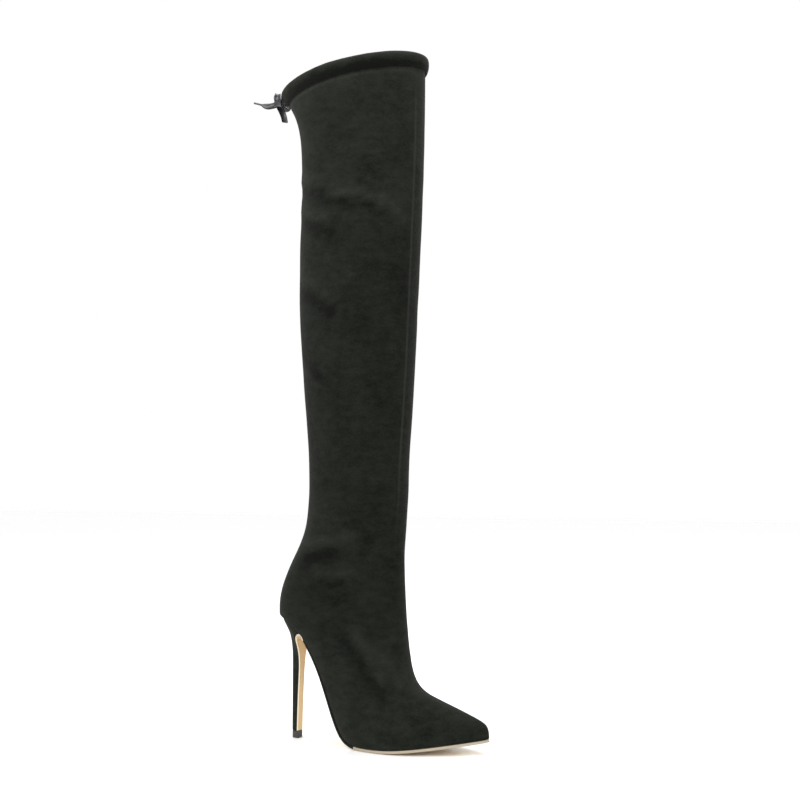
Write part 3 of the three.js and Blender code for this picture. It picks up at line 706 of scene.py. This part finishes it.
def makeCasing():
    shape = quadCopy("casing", casingSet)
    shape = subdivided(shape, casingSet["levels"], "casingSmooth")
    shape.normal_update()
    shape.verts.ensure_lookup_table()
    places = np.array([vert.co for vert in shape.verts])
    edges = edgeHeights(places)
    low = np.interp(turnsOf(places), edges[:, 0], edges[:, 1])
    high = np.interp(turnsOf(places), edges[:, 0], edges[:, 2])
    shares = np.clip((places[:, 2] - low) / (high - low), 0, 1)
    # on the casing this attribute holds only painted light: lighter towards the top of the roll,
    # darker towards its lower edge
    napAndPaintedLight = shape.verts.layers.float.new("rubAndPaintedLight")
    for vert, share in zip(shape.verts, shares):
        vert[napAndPaintedLight] = np.interp(share, *zip(*casingSet["napAndPaintedLight"]))
        outward = Vector((vert.co.x - casingSet["middle"], vert.co.y, 0)).normalized()
        fold = sum(noise.noise(vert.co / length) * height for height, length in casingSet["folds"])
        if vert.normal.dot(outward) > casingSet["bulgeFacing"]:
            fold += math.sin(math.pi * share) * casingSet["bulge"]
        vert.co += vert.normal * fold * mm
    finishPiece(shape, "casingRoll", [casingSuede], ["casing"])
    return edges


casingEdges = makeCasing()

# Upper
# Troughs (positive depth) and ridges (negative) in the suede, each along a line of places. All
# numbers are in millimetres; y is below 0 on the outer side and above 0 on the inner side.
creaseRows = [
    # width, depth, places
    (8, 1.0, [(14, -21, 537), (20, -28, 536), (37, -39, 532), (54, -45, 527)]),
    (6, -0.8, [(14, -21, 548), (20, -28, 547), (37, -39, 543), (52, -45, 538)]),
    (8, 1.2, [(18, -26, 505), (20, -28, 504), (37, -39, 498), (60, -46, 491)]),
    (6, -1.2, [(18, -26, 518), (20, -28, 516), (37, -39, 509), (54, -45, 503)]),
    (4, -1.3, [(58, -46, 528), (78, -47, 527), (93, -44, 525), (107, -38, 521), (117, -31, 515)]),
    (3.5, -1.3, [(96, -43, 521), (109, -37, 516), (118, -30, 510), (126, -21, 503)]),
    (5, 0.9, [(64, -47, 519), (84, -46, 517), (101, -41, 513), (113, -33, 507)]),
    (7, 1.2, [(22, -30, 436), (41, -41, 427), (60, -43, 414)]),
    (6, -0.9, [(24, -32, 447), (42, -41, 438), (58, -44, 427)]),
    (7, 1.1, [(20, -28, 372), (32, -36, 362), (44, -38, 350)]),
    (5, -1.1, [(28, -34, 356), (40, -38, 346)]),
    (6, 1.5, [(22, -22, 174), (34, -36, 178), (46, -37, 181), (60, -37, 186)]),
    (6, -1.4, [(22, -24, 190), (35, -35, 191), (57, -37, 195), (78, -34, 199)]),
    (5, 0.6, [(46, -36, 157), (54, -34, 154), (66, -32, 156)]),
    (5, -1.0, [(44, -36, 165), (58, -35, 163), (72, -32, 166)]),
    (5, 0.5, [(50, -34, 141), (60, -33, 138), (70, -31, 139)]),
    (7, 0.7, [(68, -33, 105), (81, -32, 87), (91, -31, 73), (103, -30, 55)]),
    (7, -1.1, [(80, -31, 110), (94, -30, 90), (106, -28, 70)]),
    (6, -0.9, [(104, -27, 96), (112, -22, 78), (122, -19, 62)]),
    (9, 1.1, [(18, 26, 508), (20, 28, 505), (38, 40, 498), (60, 46, 494)]),
    (6, -0.9, [(18, 26, 520), (20, 28, 517), (38, 40, 510), (58, 45, 506)]),
    (8, 1.3, [(16, 24, 540), (38, 40, 534), (56, 45, 530)]),
    (7, 1.3, [(70, 46, 508), (96, 43, 511), (118, 31, 505)]),
    (5, -1.4, [(68, 46, 519), (96, 43, 522), (120, 29, 514)]),
    (7, 1.2, [(22, 30, 424), (44, 42, 414), (66, 43, 404)]),
    (7, 1.6, [(22, 22, 177), (36, 36, 180), (58, 37, 185)]),
    (6, -1.3, [(22, 24, 192), (38, 36, 193), (66, 36, 197)]),
    (6, 1.3, [(48, 35, 156), (60, 34, 153), (72, 32, 154)]),
    (9, 1.5, [(66, 33, 108), (82, 33, 86), (96, 32, 66)]),
]
upperSet = {
    "sharpDegrees": 50,
    "crease": 0.85,
    "liningTries": 12,  # faces from which the lining is looked for
    "longEdge": 0.014,  # rows further apart than this get one more between them
    "uprightShare": 0.8,  # how upright the edges between two rows are at least
    "waveHeight": 0.7,  # soft unevenness of the leg, in millimetres
    "waveLength": 0.085,
    "dimpleHeight": 0.28,
    "dimpleLength": 0.022,
    "dimpleShift": (7, 3, 1),  # to another part of the noise
    "fullRubAndPaintedLight": 1.1,  # height of a ridge, in millimetres, that gets all the lightening it can, partly nap rub and partly painted highlight; a trough as deep gets all the painted shade
    # place below the casing's edge and width in millimetres, and lightness painted there: a
    # painted shadow in the groove under the casing, a painted highlight on the lip below it and a
    # little more light further down
    "paintedLightUnderCasing": [(-0.5, 2.2, -3.3), (3.5, 2, 1.2), (8, 8, 0.5)],
    # heights at which the suede doesn't move, because it meets the sole and the casing there
    "stillLow": -0.004,
    "stillHigh": 0.622,
    "stillFade": 0.03,
    # round the heel, where it is lasted, it moves less
    "heelFront": 0.075,
    "heelTop": 0.14,
    "heelShare": 0.35,
}


def distanceToLine(points, line):
    nearest = np.full(len(points), np.inf)
    for start, end in zip(line, line[1:]):
        run = end - start
        share = np.clip(((points - start) @ run) / (run @ run), 0, 1)
        off = points - (start + share[:, None] * run)
        nearest = np.minimum(nearest, np.linalg.norm(off, axis=1))
    return nearest


def pressedIn(places):
    # how far each place moves outwards, in metres, and how much lighter or darker it is painted:
    # ridges lighter, as nap rub and painted highlight, troughs darker, as painted shade
    move = np.zeros(len(places))
    for width, depth, line in creaseRows:
        off = distanceToLine(places, np.array(line) * mm)
        move -= depth * mm * np.exp(-((off / (width * mm)) ** 2))
    # ridges are painted lighter and troughs darker, so that the creases show in painted shade and
    # painted highlight as well as in nap rub
    rubAndPaintedLight = np.clip(move / (upperSet["fullRubAndPaintedLight"] * mm), -1, 1)
    shift = Vector(upperSet["dimpleShift"])
    for k, place in enumerate(places):
        wave = noise.noise(Vector(place) / upperSet["waveLength"])
        dimple = noise.noise(Vector(place) / upperSet["dimpleLength"] + shift)
        move[k] += (wave * upperSet["waveHeight"] + dimple * upperSet["dimpleHeight"]) * mm
    return move, rubAndPaintedLight


def ringOf(start):
    # edges that lie opposite each other across four-sided faces
    found, waiting = {start}, [start]
    while waiting:
        edge = waiting.pop()
        for face in edge.link_faces:
            if len(face.verts) != 4:
                continue
            for other in face.edges:
                if not set(other.verts) & set(edge.verts) and other not in found:
                    found.add(other)
                    waiting.append(other)
    return found


def addRows(shape):
    # one more row wherever the leg's rows lie far apart
    rows, done = [], set()
    for edge in shape.edges:
        along = edge.verts[0].co - edge.verts[1].co
        isUpright = abs(along.z) > upperSet["uprightShare"] * along.length
        if edge not in done and isUpright and along.length > upperSet["longEdge"]:
            ring = ringOf(edge)
            done |= ring
            rows.append(ring)
    bmesh.ops.subdivide_edges(
        shape, edges=list(set().union(*rows)), cuts=1, use_grid_fill=True
    )


def moveShare(place):
    # share of its movement that a place keeps
    fade = upperSet["stillFade"]
    share = min(1.0, (place.z - upperSet["stillLow"]) / fade)
    share *= min(1.0, max(0.0, (upperSet["stillHigh"] - place.z) / fade))
    if place.x < upperSet["heelFront"] and place.z < upperSet["heelTop"]:
        share *= upperSet["heelShare"]
    return max(share, 0)


def makeUpper():
    shape = quadCopy("upper", upperSet)
    shape.faces.ensure_lookup_table()
    outside = islandFrom(max(shape.faces, key=lambda face: face.calc_center_median().x))
    rest = [face for face in shape.faces if face not in outside]
    tries = rest[:: max(1, len(rest) // upperSet["liningTries"])]
    inside = max((islandFrom(face) for face in tries), key=len)
    # 0 for the suede, 1 for the lining and, until they have moved, 2 for the rims between them
    for face in shape.faces:
        face.material_index = 0 if face in outside else 1 if face in inside else 2
    shape = subdivided(shape, 1, "upperRough")
    addRows(shape)
    shape = subdivided(shape, 1, "upperSmooth")
    shape.normal_update()
    shape.verts.ensure_lookup_table()
    places = np.array([vert.co for vert in shape.verts])
    move, rubAndPaintedLight = pressedIn(places)
    # a painted shadow along the groove under the casing's lower edge, and a painted highlight on
    # the lip below it
    edge = np.interp(turnsOf(places), casingEdges[:, 0], casingEdges[:, 1])
    below = edge / mm - places[:, 2] / mm
    for middle, width, amount in upperSet["paintedLightUnderCasing"]:
        rubAndPaintedLight += amount * np.exp(-(((below - middle) / width) ** 2))
    # the rub attribute holds nap rub together with painted shade and painted highlights
    rubbedAndHighlight = shape.verts.layers.float.new("rubAndPaintedLight")
    # suede and lining move the same way, so that the wall keeps its thickness
    for vert, amount, napAndPaintedLight in zip(shape.verts, move, rubAndPaintedLight):
        vert[rubbedAndHighlight] = napAndPaintedLight
        away = Vector()
        for face in vert.link_faces:
            away += face.normal * (1, -1, 0)[face.material_index]
        if away.length > 1e-6:
            vert.co += away.normalized() * amount * moveShare(vert.co)
    for face in shape.faces:
        if face.material_index == 2:
            face.material_index = 0
    finishPiece(shape, "upperSuede", [suede, lining], ["upper"])


makeUpper()

# Sole and heel
outsoleSet = {
    "sharpDegrees": 50,
    "crease": 0.8,
    "levels": 2,
    # the sole's edge is dark along the shank, and light behind it, down the heel's breast
    "shankFrom": 0.019,
    "shankTo": 0.077,
}
heelSet = {"sharpDegrees": 38, "crease": 0.55, "levels": 2}
topLiftSet = {"sharpDegrees": 60, "crease": 0, "bevel": 0.35, "bevelSegments": 3}
insoleSet = {"sharpDegrees": 50, "crease": 0.8, "levels": 1}


def lowness(face):
    return face.calc_center_median().z + face.normal.z


def makeOutsole():
    shape = quadCopy("outsole", outsoleSet)
    under = islandFrom(min(shape.faces, key=lowness))
    for face in shape.faces:
        face.material_index = 0 if face in under else 1
    shape = subdivided(shape, outsoleSet["levels"], "outsoleSmooth")
    for face in shape.faces:
        along = face.calc_center_median().x
        if face.material_index == 1 and along < outsoleSet["shankTo"]:
            face.material_index = 2 if along > outsoleSet["shankFrom"] else 3
    materials = [soleTan, soleEdge, heelSuede, flapEdge]
    finishPiece(shape, "outsoleLeather", materials, ["outsole"])


def makeHeel():
    shape = subdivided(quadCopy("heel", heelSet), heelSet["levels"], "heelSmooth")
    finishPiece(shape, "heelCover", [heelSuede], ["heel"])


def makeTopLift():
    shape = quadCopy("top_lift", topLiftSet)
    rim = [edge for edge in shape.edges if edge.seam]
    bmesh.ops.bevel(
        shape,
        geom=rim,
        offset=topLiftSet["bevel"] * mm,
        segments=topLiftSet["bevelSegments"],
        profile=0.5,
        affect="EDGES",
        material=-1,
    )
    finishPiece(shape, "topLift", [rubber], ["top_lift"])


def makeInsole():
    shape = subdivided(quadCopy("insole", insoleSet), insoleSet["levels"], "insoleSmooth")
    finishPiece(shape, "insoleSock", [sock], ["insole"])


makeOutsole()
makeHeel()
makeTopLift()
makeInsole()

# Floor and light
stageSet = {
    "floorSize": 6,
    "floorColor": (0.93, 0.93, 0.93),
    "floorRoughness": 0.22,
    "worldColor": (1, 1, 1),
    "worldStrength": 1.0,
}
lightSet = {
    "keyLeft": {
        "place": (-0.9, -1.6, 1.5),
        "target": (0.05, 0, 0.35),
        "size": (1.2, 1.6),
        "power": 34,
    },
    "fillRight": {
        "place": (1.7, -1.0, 0.9),
        "target": (0.08, 0, 0.3),
        "size": (1.0, 1.6),
        "power": 18,
    },
    "overhead": {
        "place": (0.1, 0.2, 2.2),
        "target": (0.05, 0, 0),
        "size": (1.6, 1.6),
        "power": 30,
    },
}


def makeFloor():
    shape = bmesh.new()
    bmesh.ops.create_grid(shape, x_segments=1, y_segments=1, size=stageSet["floorSize"])
    mesh = bpy.data.meshes.new("floor")
    shape.to_mesh(mesh)
    shape.free()
    color, roughness = stageSet["floorColor"], stageSet["floorRoughness"]
    material, _, _ = newMaterial("floorWhite", color, roughness)
    floor = linkPiece("floor", mesh, [material])


def makeLight(name, place, target, size, power):
    data = bpy.data.lights.new(name, "AREA")
    data.shape = "RECTANGLE"
    data.size, data.size_y = size
    data.energy = power
    lamp = bpy.data.objects.new(name, data)
    lamp.location = place
    lamp.rotation_euler = (Vector(target) - Vector(place)).to_track_quat("-Z", "Y").to_euler()
    bpy.context.collection.objects.link(lamp)


def makeWorld():
    world = bpy.data.worlds.new("world")
    world.use_nodes = True
    background = world.node_tree.nodes["Background"]
    background.inputs["Color"].default_value = (*stageSet["worldColor"], 1)
    background.inputs["Strength"].default_value = stageSet["worldStrength"]
    bpy.context.scene.world = world


makeFloor()
for lightName, settings in lightSet.items():
    makeLight(lightName, **settings)
makeWorld()
print("stage made")
